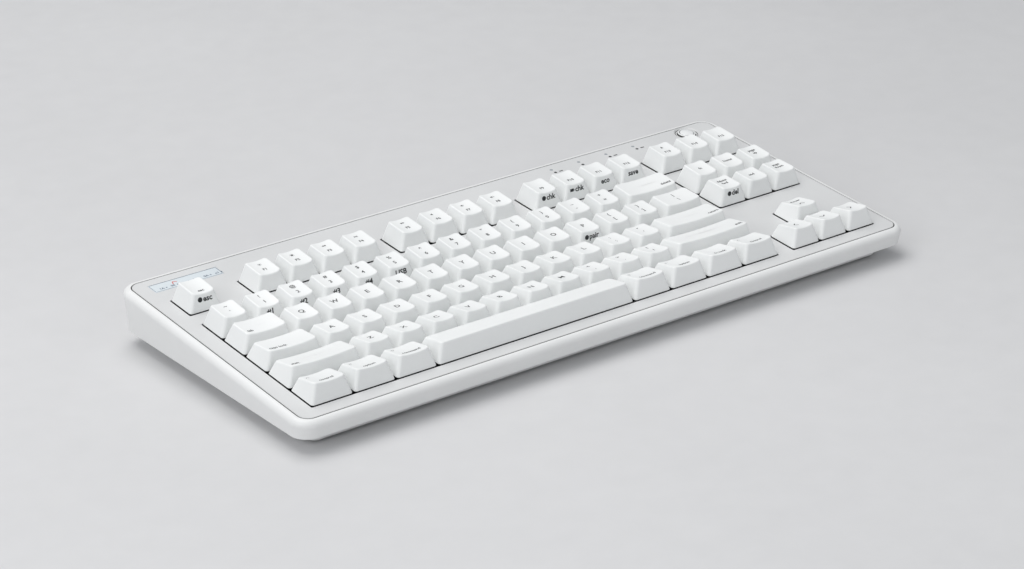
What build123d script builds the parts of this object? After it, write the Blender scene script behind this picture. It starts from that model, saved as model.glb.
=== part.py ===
from build123d import *
from collections import namedtuple
import math
import os

# A tenkeyless mechanical keyboard with 87 keys. World frame: X right, Y to the rear, Z up, the desk at Z = 0.
# Everything that follows the sloping top is drawn in the deck frame: X right, Y up the slope, Z normal to the
# panel, with the panel's top face at Z = 0. place_on_deck() carries it into the world frame.

# driving dimensions
PITCH = 19.05
TRAVEL = 4.0
SLOPE = 5.0
DECK_HEIGHT = 24.0
DECK_SHIFT = -0.28

CASE_WIDTH = 379.8
CASE_DEPTH = 164.5
CASE_CORNER = 10.0
WALL_DRAFT = 6.5
RIM_WIDTH = 3.9
RIM_ROUND = 3.2
GROOVE = 0.7

PANEL_THICK = 2.2
WALL_FOOT = 7.9
PLINTH_FOOT = 1.4
FLOOR_THICK = 2.0
LEDGE_THICK = 1.8
PLINTH_WIDTH = 356.0
PLINTH_FRONT = -71.0
PLINTH_REAR = 71.6
PLINTH_CORNER = 5.0
FLOOR_TOP = PLINTH_FOOT + FLOOR_THICK
LEDGE_TOP = WALL_FOOT + LEDGE_THICK

# key grid: 18.5 by 6.5 pitches
GRID_LEFT = -18.5 * PITCH / 2
GRID_REAR = 53.85
OPENING_CORNER = 0.8

# the stack under the panel, heights in the deck frame
PLATE_TOP = -6.7
PLATE_THICK = 1.5
PLATE_BOTTOM = PLATE_TOP - PLATE_THICK
BOARD_TOP = PLATE_TOP - 5.0
BOARD_THICK = 1.6
PIN_END = BOARD_TOP - 2.7
PLATE_WIDTH = 351.0
PLATE_FRONT = -69.3
PLATE_REAR = 53.5
BOARD_FRONT = -67.9
BOARD_REAR = 52.7

# keycaps
CAP_GAP = 0.95
CAP_BASE = 0.3
CAP_SIDE_INSET = 3.4
CAP_WALL = 1.3
CAP_SKIN = 1.5
CAP_BASE_CORNER = 1.5
CAP_TOP_CORNER = 2.0
DISH_DEPTH = 0.9
DISH_OVERRUN = 0.3
BOSS_RADIUS = 2.8
BOSS_FOOT = 0.2
CROSS_SPAN = 4.0
CROSS_ARM = 1.2
CROSS_HEIGHT = 3.6
CROSS_PLAY = 0.1

# switches
CUT_OUT = 14.0
HOUSING = 13.9
FLANGE = 15.6
FLANGE_THICK = 1.0
HOUSING_BASE = 14.6
HOUSING_CROWN = 9.6
HOUSING_TOP = -0.1
HOUSING_ROOF = 1.2
HOUSING_WALL = 0.6
SLIDER_X = 7.0
SLIDER_Y = 5.4
SLIDER_PLAY = 0.6
SLIDER_FOOT = -6.4
SLIDER_ROOF = -1.6
WELL_FLOOR = -10.7
SPRING_BORE = 2.4
SPRING_RADIUS = 1.9
SPRING_WIRE = 0.2
SPRING_TURNS = 6
PIN_PLACES = [(-5.0, 2.6), (2.5, 5.1)]
PIN_WIDTH = 0.9
PIN_THICK = 0.4
PIN_TOP = -8.0
PIN_PLAY = 0.1

# stabilisers of the wide keys
WIRE_RADIUS = 0.7
WIRE_BACK = 9.5
WIRE_HEIGHT = -5.6
WIRE_REACH = 8.0
ARM_TIP = 0.7
STAB_STEM_X = 4.0
STAB_STEM_Y = 5.0
STAB_STEM_FOOT = -6.4
STAB_SLOT = 2.8
STAB_SLOT_WIDTH = 2.2
PLATE_SLOT = 8.8
STAB_SLOT_DEPTH = 2.3
GUIDE_HALF_X = 3.3
GUIDE_HALF_Y = 4.0
GUIDE_WALL = 1.0
GUIDE_TOP = BOSS_FOOT - TRAVEL - 0.2
GUIDE_PLAY = 0.1
CLIP_LENGTH = 2.0
CLIP_INSET = 3.0
CLIP_DEPTH = 3.0
CLIP_PLAY = 0.1

# rear band
BADGE = (-158.0, 68.3)
BADGE_SIZE = (39.0, 8.3)
BADGE_THICK = 0.8
BADGE_PLAY = 0.15
BADGE_CORNER = 0.6
BADGE_LEDGE = 2.0
BUTTON = (166.4, 70.35)
BUTTON_RADIUS = 5.1
BUTTON_CROWN = 1.1
BUTTON_PLAY = 0.3
BUTTON_FLANGE = 6.2
BUTTON_FLANGE_DEPTH = 5.0
BUTTON_FLANGE_THICK = 1.0
BUTTON_RING = (6.2, 7.25, 0.8)
PLUNGER_RADIUS = 1.5
PLUNGER_LENGTH = 1.4
SWITCH_BOARD = (18.0, 10.0, 1.2)
SWITCH_BOARD_TOP = -9.2
SWITCH_BODY = 6.0
SWITCH_BODY_HEIGHT = 3.0
SWITCH_KNOB_RADIUS = 1.7
SWITCH_KNOB_HEIGHT = 0.3
SWITCH_POST_X = 7.8
SWITCH_POST_RADIUS = 1.2
SKIRT_INSET = 1.5
SKIRT_THICK = 1.5
SKIRT_FOOT = -6.0
LIGHTS_Y = 72.45
LIGHTS_X = [73.0, 91.7, 110.6, 129.5]
LIGHT_RADIUS = 0.9
LIGHT_PLAY = 0.05
LIGHT_COLLAR = (1.6, 0.8)

# screws in the deck frame: a row behind the keys and three between the keys
REAR_SCREWS_X = (-168.0, -75.0, 75.0, 168.0)
REAR_SCREWS_Y = 59.5
INNER_SCREW_X = 6 * PITCH
INNER_SCREW_Y = 30.0
FRONT_SCREW_Y = -45.0
SCREWS = [(x, REAR_SCREWS_Y) for x in REAR_SCREWS_X]
SCREWS += [(-INNER_SCREW_X, INNER_SCREW_Y), (INNER_SCREW_X, INNER_SCREW_Y), (INNER_SCREW_X, FRONT_SCREW_Y)]
SCREW_RADIUS = 1.5
SCREW_LENGTH = 12.0
SCREW_BITE = 9.0
SCREW_PLAY = 0.1
SCREW_THREAD_PLAY = 0.02
SCREW_HEAD_RADIUS = 2.75
SCREW_HEAD_PLAY = 0.25
SCREW_HEAD = 2.0
SCREW_CROSS_SPAN = 3.2
SCREW_CROSS_WIDTH = 0.6
SCREW_CROSS_DEPTH = 1.2
SCREW_RECESS = 0.3
SCREW_BOSS = 3.5
SCREW_BOSS_PLAY = 0.25
CASE_BOSS = 4.3
CASE_BOSS_HEIGHT = 2.4
SHOULDER_BOSS = 4.6

# tilt feet, world frame
FOOT_X = 150.0
FOOT_WIDTH = 22.0
FOOT_THICK = 4.0
FOOT_PIN_Y = 50.2
FOOT_PIN_Z = 3.9
FOOT_REACH = 13.0
FOOT_PLAY = 0.4
POCKET_WALL = 1.4
POCKET_ROOF = 6.2
FOOT_PIN_RADIUS = 1.0
FOOT_PIN_PLAY = 0.06
FOOT_PIN_SEAT = 1.0

# rubber pads, world frame
PAD_DEPTH = 7.0
PAD_CORNER = 2.0
PAD_INSET = 6.0
FRONT_PAD = (152.0, 42.0)
REAR_PAD = (108.0, 30.0)

# battery bay, world frame
CELL_RADIUS = 7.25
CELL_LENGTH = 49.2
CELL_NUB = 1.3
CELL_NUB_RADIUS = 2.75
CELL_Y = 61.7
CELL_Z = 11.2
DOOR_HALF = 53.7
DOOR_FRONT = 53.9
DOOR_PLAY = 0.3
DOOR_LIP = 7.6
DOOR_LIP_PLAY = 0.2
DOOR_SINK = 0.1
DOOR_EAR = (1.8, 2.0, 1.05)
DOOR_EAR_ROOT = 2.0
DOOR_EAR_SET_BACK = 1.0
DOOR_EAR_PLAY = 0.15
BAY_END = 55.8
BAY_WALL = 1.5
BAY_FRONT_TOP = 13.5
BAY_TOP = 19.0
CONTACT_THICK = 0.5
CONTACT_SIZE = 10.0
CONTACT_DOME_RADIUS = 2.5
CONTACT_TURNS = 4
CONTACT_RADIUS = 4.2
CONTACT_TAPER = 0.6
CONTACT_COIL = 1.0

# wired connection, world frame
USB_X = -120.0
USB_WIDTH = 8.94
USB_HEIGHT = 3.26
USB_LENGTH = 7.35
USB_SHELL = 0.3
USB_BACK = 1.0
USB_PLAY = 0.2
USB_TONGUE = (6.7, 0.7)
USB_TONGUE_INSET = 1.5
USB_REAR = 76.4
PLUG_WIDTH = 13.0
PLUG_HEIGHT = 7.5
TUNNEL_WALL = 1.6
TUNNEL_BACK = 1.2
TUNNEL_REAR = 78.0
CONTROL_FOOT = 12.0
CONTROL_THICK = 1.2
CONTROL_SIZE = (60.0, 17.0)
CONTROL_PLAY = 0.2
CHIP_X = 13.0
CHIP_SIZE = (10.0, 10.0, 1.2)
SHIELD_X = -18.0
SHIELD_SIZE = (16.0, 11.0, 2.2)
PARTS_INSET = 2.0
BOARD_POST_RADIUS = 2.2
BOARD_POST_INSET = 3.0

FAR = 60.0
MOST_DISHED = 6.0

Profile = namedtuple("Profile", "front_height rear_height front_inset rear_inset")
Key = namedtuple("Key", "node row start width")

# where each row starts, in pitches from the rear edge of the grid
ROW_START = {"function": 0.0, "number": 1.5, "upper": 2.5, "home": 3.5, "lower": 4.5, "bottom": 5.5}
PROFILES = {
    "function": Profile(9.7, 10.2, 2.8, 1.9),
    "number": Profile(10.2, 10.9, 2.6, 2.7),
    "upper": Profile(10.1, 10.0, 2.1, 3.3),
    "home": Profile(9.8, 7.9, 2.3, 2.6),
    "lower": Profile(10.4, 7.0, 2.8, 2.1),
    "bottom": Profile(10.4, 7.1, 3.3, 2.1),
}
# half the distance between the two stabiliser stems of a wide key
STABILISED = {
    "delete_key": 11.94,
    "return_key": 11.94,
    "left_shift_key": 11.94,
    "right_shift_key": 11.94,
    "space_bar": 50.0,
}


def run_of(node, row, start, count):
    """A run of keys one pitch wide that share one node."""
    return [Key(node, row, start + step, 1.0) for step in range(count)]


def all_keys():
    keys = [Key("esc_key", "function", 0.0, 1.0)]
    for start in (2.0, 6.5, 11.0):
        keys += run_of("function_keys", "function", start, 4)
    keys += run_of("f13_to_f15_keys", "function", 15.5, 3)
    keys += run_of("number_row_keys", "number", 0.0, 13)
    keys.append(Key("delete_key", "number", 13.0, 2.0))
    keys.append(Key("tab_key", "upper", 0.0, 1.5))
    keys += run_of("upper_letter_keys", "upper", 1.5, 12)
    keys.append(Key("backslash_key", "upper", 13.5, 1.5))
    keys.append(Key("caps_lock_key", "home", 0.0, 1.75))
    keys += run_of("home_letter_keys", "home", 1.75, 11)
    keys.append(Key("return_key", "home", 12.75, 2.25))
    keys.append(Key("left_shift_key", "lower", 0.0, 2.25))
    keys += run_of("lower_letter_keys", "lower", 2.25, 10)
    keys.append(Key("right_shift_key", "lower", 12.25, 2.75))
    for place, name in enumerate(("left_control_key", "left_option_key", "left_command_key")):
        keys.append(Key(name, "bottom", 1.25 * place, 1.25))
    keys.append(Key("space_bar", "bottom", 3.75, 6.25))
    right_side = ("right_command_key", "right_option_key", "function_shift_key", "right_control_key")
    for place, name in enumerate(right_side):
        keys.append(Key(name, "bottom", 10.0 + 1.25 * place, 1.25))
    for place, name in enumerate(("help_key", "home_key", "page_up_key")):
        keys.append(Key(name, "number", 15.5 + place, 1.0))
    for place, name in enumerate(("forward_delete_key", "end_key", "page_down_key")):
        keys.append(Key(name, "upper", 15.5 + place, 1.0))
    keys.append(Key("up_arrow_key", "lower", 16.5, 1.0))
    for place, name in enumerate(("left_arrow_key", "down_arrow_key", "right_arrow_key")):
        keys.append(Key(name, "bottom", 15.5 + place, 1.0))
    return keys


KEYS = all_keys()


def column(start):
    return GRID_LEFT + start * PITCH


def line(start):
    return GRID_REAR - start * PITCH


def key_centre(key):
    return column(key.start + key.width / 2), line(ROW_START[key.row] + 0.5)


def deck_plane():
    slope = math.radians(SLOPE)
    normal = (0, -math.sin(slope), math.cos(slope))
    return Plane(origin=(0, DECK_SHIFT, DECK_HEIGHT), x_dir=(1, 0, 0), z_dir=normal)


def place_on_deck(shape):
    return deck_plane().location * shape


def deck_height(world_z, deck_y):
    """Height in the deck frame of the level world_z, at the distance deck_y up the slope."""
    slope = math.radians(SLOPE)
    return (world_z - DECK_HEIGHT - deck_y * math.sin(slope)) / math.cos(slope)


def block(x_low, x_high, y_low, y_high, z_low, z_high):
    centre = Pos((x_low + x_high) / 2, (y_low + y_high) / 2, (z_low + z_high) / 2)
    return centre * Box(x_high - x_low, y_high - y_low, z_high - z_low)


def post(x, y, radius, z_low, z_high):
    return Pos(x, y, (z_low + z_high) / 2) * Cylinder(radius, z_high - z_low)


def rod_along_x(y, z, radius, x_low, x_high):
    return Pos((x_low + x_high) / 2, y, z) * Rot(0, 90, 0) * Cylinder(radius, x_high - x_low)


def slab(sketch, z_low, z_high):
    return Pos(0, 0, z_low) * extrude(sketch, amount=z_high - z_low)


def drafted(width, depth, corner):
    """A rounded block from the panel's level down, its four walls leaning inwards."""
    downwards = Plane(origin=(0, 0, 0), x_dir=(1, 0, 0), z_dir=(0, 0, -1))
    return extrude(downwards * RectangleRounded(width, depth, corner), amount=FAR, taper=WALL_DRAFT)


# ---------------------------------------------------------------- keys


def top_plane(row, lowered):
    """The plane through the top edges of a keycap, moved down its normal, and its length up the slope."""
    profile = PROFILES[row]
    front = -PITCH / 2 + profile.front_inset
    rear = PITCH / 2 - profile.rear_inset
    rise = profile.rear_height - profile.front_height
    tilt = math.atan2(rise, rear - front)
    normal = Vector(0, -math.sin(tilt), math.cos(tilt))
    middle = Vector(0, (front + rear) / 2, (profile.front_height + profile.rear_height) / 2)
    plane = Plane(origin=middle - normal * lowered, x_dir=(1, 0, 0), z_dir=normal)
    return plane, math.hypot(rise, rear - front)


def cap_body(row, width, wall, lowered):
    """The outer shape of a keycap, or with a wall and a lowered top the hollow inside it."""
    base_x = width * PITCH - CAP_GAP - 2 * wall
    base_y = PITCH - CAP_GAP - 2 * wall
    top_x = width * PITCH - 2 * CAP_SIDE_INSET - 2 * wall
    plane, top_y = top_plane(row, lowered)
    base = Pos(0, 0, CAP_BASE) * RectangleRounded(base_x, base_y, CAP_BASE_CORNER)
    top = plane * RectangleRounded(top_x, top_y - 2 * wall, CAP_TOP_CORNER)
    return loft([base, top], ruled=True)


def dish(row, width):
    """The cylinder that hollows the top of a keycap from side to side."""
    half = width * PITCH / 2 - CAP_SIDE_INSET + DISH_OVERRUN
    radius = (half**2 + DISH_DEPTH**2) / (2 * DISH_DEPTH)
    plane, _ = top_plane(row, 0)
    lifted = Pos(0, 0, radius - DISH_DEPTH) * Rot(90, 0, 0) * Cylinder(radius, FAR)
    return plane.location * lifted


def cross(play):
    span = CROSS_SPAN + play
    arm = CROSS_ARM + play
    foot = Pos(0, 0, BOSS_FOOT + CROSS_HEIGHT / 2)
    height = CROSS_HEIGHT + play
    return foot * Box(span, arm, height) + foot * Box(arm, span, height)


def keycap(row, width, boss_places):
    outer = cap_body(row, width, 0, 0)
    cap = outer - cap_body(row, width, CAP_WALL, CAP_SKIN + DISH_DEPTH)
    for x in boss_places:
        cap += post(x, 0, BOSS_RADIUS, CROSS_HEIGHT, FAR) & outer
        cap += post(x, 0, BOSS_RADIUS, BOSS_FOOT, CROSS_HEIGHT)
    for x in boss_places:
        cap -= Pos(x, 0, 0) * cross(CROSS_PLAY)
    if width < MOST_DISHED:
        cap -= dish(row, width)
    return cap


def stem():
    """The sliding stem of a switch: a hollow slider with the cross that the keycap is pushed on to."""
    slider = block(-SLIDER_X / 2, SLIDER_X / 2, -SLIDER_Y / 2, SLIDER_Y / 2, SLIDER_FOOT, BOSS_FOOT)
    slider -= post(0, 0, SPRING_BORE, SLIDER_FOOT, SLIDER_ROOF)
    return slider + cross(0)


def stabiliser_stem():
    half_x = STAB_STEM_X / 2
    half_y = STAB_STEM_Y / 2
    body = block(-half_x, half_x, -half_y, half_y, STAB_STEM_FOOT, BOSS_FOOT)
    middle = WIRE_HEIGHT + TRAVEL / 2
    half_slot = STAB_SLOT_WIDTH / 2
    slot_front = half_y - STAB_SLOT_DEPTH
    body -= block(-half_slot, half_slot, slot_front, half_y, middle - STAB_SLOT / 2, middle + STAB_SLOT / 2)
    return body + cross(0)


def key_nodes():
    """One node for each key or bank of keys: its keycaps with the stems that they are pushed on to."""
    shapes = {}
    nodes = {}
    slider = stem()
    side_stem = stabiliser_stem()
    for key in KEYS:
        spread = STABILISED.get(key.node)
        sides = [-spread, spread] if spread else []
        kind = (key.row, key.width)
        if kind not in shapes:
            shapes[kind] = keycap(key.row, key.width, [0.0] + sides)
        x, y = key_centre(key)
        here = Pos(x, y, 0)
        solids = nodes.setdefault(key.node, [])
        solids.append(here * shapes[kind])
        solids.append(here * slider)
        for side in sides:
            solids.append(Pos(x + side, y, 0) * side_stem)
    return nodes


# ---------------------------------------------------------------- switches


def switch_base():
    """The lower housing: it drops through the plate, its flange rests on the plate's top face."""
    half = HOUSING / 2
    rim = FLANGE / 2
    body = block(-half, half, -half, half, BOARD_TOP, PLATE_TOP)
    body += block(-rim, rim, -rim, rim, PLATE_TOP, PLATE_TOP + FLANGE_THICK)
    well_x = (SLIDER_X + SLIDER_PLAY) / 2
    well_y = (SLIDER_Y + SLIDER_PLAY) / 2
    body -= block(-well_x, well_x, -well_y, well_y, WELL_FLOOR, PLATE_TOP + FLANGE_THICK)
    for x, y in PIN_PLACES:
        body -= pin(x, y, PIN_PLAY)
    return body


def pin(x, y, play):
    half_x = (PIN_WIDTH + play) / 2
    half_y = (PIN_THICK + play) / 2
    return block(x - half_x, x + half_x, y - half_y, y + half_y, PIN_END, PIN_TOP)


def switch_top():
    """The upper housing: a tapering cover with the hole that the slider moves in."""
    foot = PLATE_TOP + FLANGE_THICK
    base = Pos(0, 0, foot) * Rectangle(HOUSING_BASE, HOUSING_BASE)
    crown = Pos(0, 0, HOUSING_TOP) * Rectangle(HOUSING_CROWN, HOUSING_CROWN)
    body = loft([base, crown], ruled=True)
    room = HOUSING_CROWN / 2 - HOUSING_WALL
    body -= block(-room, room, -room, room, foot, HOUSING_TOP - HOUSING_ROOF)
    hole_x = (SLIDER_X + SLIDER_PLAY) / 2
    hole_y = (SLIDER_Y + SLIDER_PLAY) / 2
    return body - block(-hole_x, hole_x, -hole_y, hole_y, foot, HOUSING_TOP)


def switch_spring():
    """The coil between the floor of the well and the roof of the slider, as long as it is with the key up."""
    margin = 2 * SPRING_WIRE
    height = SLIDER_ROOF - WELL_FLOOR - 2 * margin
    path = Helix(height / SPRING_TURNS, height, SPRING_RADIUS)
    section = Plane(origin=path @ 0, z_dir=path % 0) * RegularPolygon(SPRING_WIRE, 4)
    return Pos(0, 0, WELL_FLOOR + margin) * sweep(section, path=path, is_frenet=True)


def at_each_key(*shapes):
    """Copies of the shapes at the centre of every key."""
    places = [key_centre(key) for key in KEYS]
    return [Pos(x, y, 0) * shape for x, y in places for shape in shapes]


# ---------------------------------------------------------------- stabilisers


def stabiliser_places():
    """Every stabilised key as its node, its centre and half the distance between its stems."""
    return [(key.node, *key_centre(key), STABILISED[key.node]) for key in KEYS if key.node in STABILISED]


def stabiliser_guide():
    """A U-shaped guide for one stabiliser stem, open to the rear, where the wire comes in."""
    body = block(-GUIDE_HALF_X, GUIDE_HALF_X, -GUIDE_HALF_Y, GUIDE_HALF_Y, BOARD_TOP, GUIDE_TOP)
    inner = GUIDE_HALF_X - GUIDE_WALL
    front = GUIDE_WALL - GUIDE_HALF_Y
    return body - block(-inner, inner, front, GUIDE_HALF_Y, BOARD_TOP + GUIDE_WALL, GUIDE_TOP)


def wire_clip():
    """A saddle on the plate that the long run of a stabiliser wire turns in."""
    half_x = CLIP_LENGTH / 2
    half_y = CLIP_DEPTH / 2
    top = WIRE_HEIGHT + WIRE_RADIUS + CLIP_PLAY
    saddle = block(-half_x, half_x, WIRE_BACK - half_y, WIRE_BACK + half_y, PLATE_TOP, top)
    saddle -= rod_along_x(WIRE_BACK, WIRE_HEIGHT, WIRE_RADIUS + CLIP_PLAY, -half_x, half_x)
    slot_half = WIRE_RADIUS + CLIP_PLAY
    return saddle - block(-half_x, half_x, WIRE_BACK - slot_half, WIRE_BACK + slot_half, WIRE_HEIGHT, top)


def stabiliser_housings():
    solids = []
    for _, x, y, spread in stabiliser_places():
        for side in (-1, 1):
            solids.append(Pos(x + side * spread, y, 0) * stabiliser_guide())
            solids.append(Pos(x + side * (spread - CLIP_INSET), y, 0) * wire_clip())
    return solids


def stabiliser_wire(spread):
    """A bent wire: a long run behind the key and two arms that reach forward into the stems."""
    rise = TRAVEL / 2
    slope = rise / math.sqrt(WIRE_REACH**2 - rise**2)
    tip_y = ARM_TIP
    tip_z = WIRE_HEIGHT + slope * (WIRE_BACK - tip_y)
    corners = [
        (-spread, tip_y, tip_z),
        (-spread, WIRE_BACK, WIRE_HEIGHT),
        (spread, WIRE_BACK, WIRE_HEIGHT),
        (spread, tip_y, tip_z),
    ]
    path = FilletPolyline(*corners, radius=2 * WIRE_RADIUS)
    section = Plane(origin=path @ 0, z_dir=path % 0) * Circle(WIRE_RADIUS)
    return sweep(section, path=path)


# ---------------------------------------------------------------- plate and boards


def deck_rectangle(x_low, x_high, y_low, y_high):
    return Pos((x_low + x_high) / 2, (y_low + y_high) / 2) * Rectangle(x_high - x_low, y_high - y_low)


def boss_holes():
    holes = [(x, y) for x, y in SCREWS if y < PLATE_REAR]
    return Sketch() + [Pos(x, y) * Circle(SCREW_BOSS + SCREW_BOSS_PLAY) for x, y in holes]


def mounting_plate():
    """The steel plate that the switches and stabilisers snap into."""
    outline = deck_rectangle(-PLATE_WIDTH / 2, PLATE_WIDTH / 2, PLATE_FRONT, PLATE_REAR)
    holes = [Pos(*key_centre(key)) * Rectangle(CUT_OUT, CUT_OUT) for key in KEYS]
    half_x = GUIDE_HALF_X + GUIDE_PLAY
    half_y = GUIDE_HALF_Y + GUIDE_PLAY
    half_slot = STAB_SLOT_WIDTH / 2
    for _, x, y, spread in stabiliser_places():
        for side in (-1, 1):
            middle = x + side * spread
            holes.append(deck_rectangle(middle - half_x, middle + half_x, y - half_y, y + half_y))
            holes.append(deck_rectangle(middle - half_slot, middle + half_slot, y, y + PLATE_SLOT))
    return slab(outline - (Sketch() + holes) - boss_holes(), PLATE_BOTTOM, PLATE_TOP)


def circuit_board():
    """The main board under the plate, with a slot for each switch pin."""
    outline = deck_rectangle(-PLATE_WIDTH / 2, PLATE_WIDTH / 2, BOARD_FRONT, BOARD_REAR)
    slots = []
    for key in KEYS:
        x, y = key_centre(key)
        for pin_x, pin_y in PIN_PLACES:
            slots.append(Pos(x + pin_x, y + pin_y) * Rectangle(PIN_WIDTH + PIN_PLAY, PIN_THICK + PIN_PLAY))
    return slab(outline - (Sketch() + slots) - boss_holes(), BOARD_TOP - BOARD_THICK, BOARD_TOP)


def controller_outline():
    """The controller board from above. It ends in front of the wall that the socket reaches through."""
    width, depth = CONTROL_SIZE
    rear = USB_REAR - TUNNEL_BACK - CONTROL_PLAY
    return USB_X - width / 2, USB_X + width / 2, rear - depth, rear


def on_controller(x, size):
    """A rectangular component on the controller board, its middle at the distance x from the socket's."""
    width, depth, height = size
    front = controller_outline()[2] + PARTS_INSET
    foot = CONTROL_FOOT + CONTROL_THICK
    return block(USB_X + x - width / 2, USB_X + x + width / 2, front, front + depth, foot, foot + height)


def controller_board():
    """The radio and controller board, level, behind the keys."""
    board = block(*controller_outline(), CONTROL_FOOT, CONTROL_FOOT + CONTROL_THICK)
    return board + on_controller(CHIP_X, CHIP_SIZE) + on_controller(SHIELD_X, SHIELD_SIZE)


def usb_socket():
    """The receptacle: a folded shell, open to the rear, with a tongue inside."""
    foot = CONTROL_FOOT + CONTROL_THICK
    half = USB_WIDTH / 2
    front = USB_REAR - USB_LENGTH
    shell = block(USB_X - half, USB_X + half, front, USB_REAR, foot, foot + USB_HEIGHT)
    room = half - USB_SHELL
    floor = foot + USB_SHELL
    roof = foot + USB_HEIGHT - USB_SHELL
    shell -= block(USB_X - room, USB_X + room, front + USB_BACK, USB_REAR, floor, roof)
    width, thick = USB_TONGUE
    tongue = Pos(0, 0, usb_middle()) * block(
        USB_X - width / 2, USB_X + width / 2, front, USB_REAR - USB_TONGUE_INSET, -thick / 2, thick / 2
    )
    return shell + tongue


# ---------------------------------------------------------------- case


def opening(start, end, top_row, bottom_row):
    """An opening in the panel, in pitches: from column start to end, from line top_row to bottom_row."""
    return deck_rectangle(column(start), column(end), line(bottom_row), line(top_row))


def key_openings():
    openings = [
        opening(0, 1, 0, 1),
        opening(2, 6, 0, 1),
        opening(6.5, 10.5, 0, 1),
        opening(11, 15, 0, 1),
        opening(15.5, 18.5, 0, 1),
        opening(0, 15, 1.5, 6.5),
        opening(15.5, 18.5, 1.5, 3.5),
        opening(16.5, 17.5, 4.5, 5.5) + opening(15.5, 18.5, 5.5, 6.5),
    ]
    return [fillet(hole.vertices(), OPENING_CORNER) for hole in openings]


def screw_meeting(y):
    """Height in the deck frame where a screw boss of the cover meets the one of the lower case."""
    return deck_height(FLOOR_TOP, y) + CASE_BOSS_HEIGHT


def cover_boss(x, y):
    """A boss under the cover. Where it crosses the plate a shoulder bears on the plate's top face."""
    boss = post(x, y, SCREW_BOSS, screw_meeting(y), -PANEL_THICK / 2)
    if y < PLATE_REAR:
        boss += post(x, y, SHOULDER_BOSS, PLATE_TOP, -PANEL_THICK / 2)
    meeting = screw_meeting(y)
    return boss - post(x, y, SCREW_RADIUS, meeting, min(meeting + SCREW_LENGTH, -PANEL_THICK))


def top_cover():
    """The panel that drops into the rim, with its key openings, skirt, bosses and badge pocket."""
    width = CASE_WIDTH - 2 * (RIM_WIDTH + GROOVE)
    depth = CASE_DEPTH - 2 * (RIM_WIDTH + GROOVE)
    corner = CASE_CORNER - RIM_WIDTH - GROOVE
    outline = RectangleRounded(width, depth, corner)
    for hole in key_openings():
        outline -= hole
    panel = slab(outline, -PANEL_THICK, 0)
    skirt = RectangleRounded(width - 2 * SKIRT_INSET, depth - 2 * SKIRT_INSET, corner - SKIRT_INSET)
    inset = SKIRT_INSET + SKIRT_THICK
    skirt -= RectangleRounded(width - 2 * inset, depth - 2 * inset, corner - inset)
    panel += slab(skirt, SKIRT_FOOT, -PANEL_THICK / 2)
    for x, y in SCREWS:
        panel += cover_boss(x, y)
    width, depth = BADGE_SIZE
    badge = Pos(*BADGE) * Rectangle(width, depth)
    badge_hole = Pos(*BADGE) * Rectangle(width - 2 * BADGE_LEDGE, depth - 2 * BADGE_LEDGE)
    panel -= slab(badge, -BADGE_THICK, 0)
    panel -= slab(badge_hole, -PANEL_THICK, 0)
    x, y = BUTTON
    low_radius, high_radius, ring_depth = BUTTON_RING
    panel -= post(x, y, BUTTON_RADIUS + BUTTON_PLAY, SKIRT_FOOT, 0)
    panel -= Pos(x, y, -ring_depth / 2) * Cone(low_radius, high_radius, ring_depth)
    for side in (-1, 1):
        middle = x + side * SWITCH_POST_X
        panel += post(middle, y, SWITCH_POST_RADIUS, SWITCH_BOARD_TOP, -PANEL_THICK / 2)
    for light in LIGHTS_X:
        panel -= post(light, LIGHTS_Y, LIGHT_RADIUS + LIGHT_PLAY, -PANEL_THICK, 0)
    return panel


def foot_pocket(side, outer):
    """The room of a tilt foot in the floor, or with outer the walls round it."""
    wall = POCKET_WALL if outer else 0
    middle = side * FOOT_X
    half = FOOT_WIDTH / 2 + FOOT_PLAY + wall
    front = FOOT_PIN_Y - FOOT_THICK / 2 - 2 * FOOT_PLAY - wall
    rear = FOOT_PIN_Y + FOOT_REACH + FOOT_PLAY + wall
    return block(middle - half, middle + half, front, rear, PLINTH_FOOT, POCKET_ROOF + wall)


def foot_pin_half():
    """Half the length of a hinge pin, which ends in the walls of its pocket."""
    return FOOT_WIDTH / 2 + FOOT_PLAY + FOOT_PIN_SEAT


def battery_bay_walls():
    front = DOOR_FRONT - DOOR_PLAY
    outer = BAY_END + BAY_WALL
    walls = block(-outer, outer, front - BAY_WALL, front, FLOOR_TOP, BAY_FRONT_TOP)
    for low, high in ((-outer, -BAY_END), (BAY_END, outer)):
        walls += block(low, high, front, PLINTH_REAR - FLOOR_THICK / 2, FLOOR_TOP, BAY_TOP)
    return walls


def usb_middle():
    return CONTROL_FOOT + CONTROL_THICK + USB_HEIGHT / 2


def plug_recess(wall, front, rear):
    half_x = PLUG_WIDTH / 2 + wall
    half_z = PLUG_HEIGHT / 2 + wall
    middle = usb_middle()
    return block(USB_X - half_x, USB_X + half_x, front, rear, middle - half_z, middle + half_z)


def board_posts():
    """Posts under the controller board: two from the floor and two from the ledge."""
    x_low, x_high, y_low, y_high = controller_outline()
    inset = BOARD_POST_INSET
    posts = []
    for x in (x_low + inset, x_high - inset):
        for y, foot in ((y_low + inset, FLOOR_TOP), (y_high - inset, LEDGE_TOP)):
            posts.append(post(x, y, BOARD_POST_RADIUS, foot, CONTROL_FOOT))
    return posts


def case_boss(x, y):
    boss = post(x, y, CASE_BOSS, screw_meeting(y) - FAR, screw_meeting(y))
    above_desk = block(-CASE_WIDTH, CASE_WIDTH, -CASE_DEPTH, CASE_DEPTH, PLINTH_FOOT, FAR)
    return place_on_deck(boss) & above_desk


def screw_head_foot(y):
    return deck_height(PLINTH_FOOT, y) + SCREW_RECESS


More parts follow.
